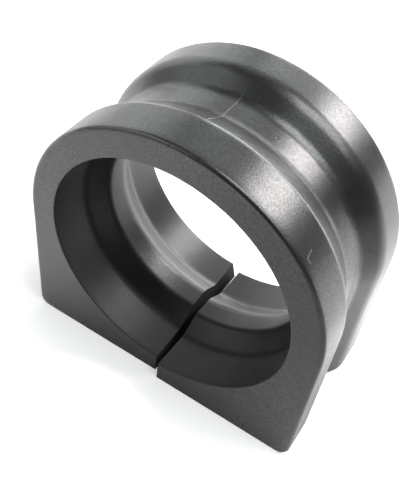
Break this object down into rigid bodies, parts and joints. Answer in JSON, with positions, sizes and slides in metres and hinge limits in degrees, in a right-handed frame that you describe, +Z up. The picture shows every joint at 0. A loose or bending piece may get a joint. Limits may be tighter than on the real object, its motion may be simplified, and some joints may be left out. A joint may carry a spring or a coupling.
{
  "type": "sway bar bushing",
  "caption": "D-shaped split rubber bushing with a clamp groove round the outside, a ridge inside the bore, and a flat base.",
  "frame": {"origin": "centre of the flat base, on the surface it stands on, halfway along the bore", "axes": "+Y runs along the bore from the front face to the back face, +Z points up from the base to the top of the arch, and +X points to the right seen from the front"},
  "size_m": [0.06, 0.0318, 0.059],
  "materials": {
    "rubber": "black, satin from the mould, fine grain"
  },
  "bodies": {
    "root": {"bushing": "rubber"}
  },
  "joints": []
}
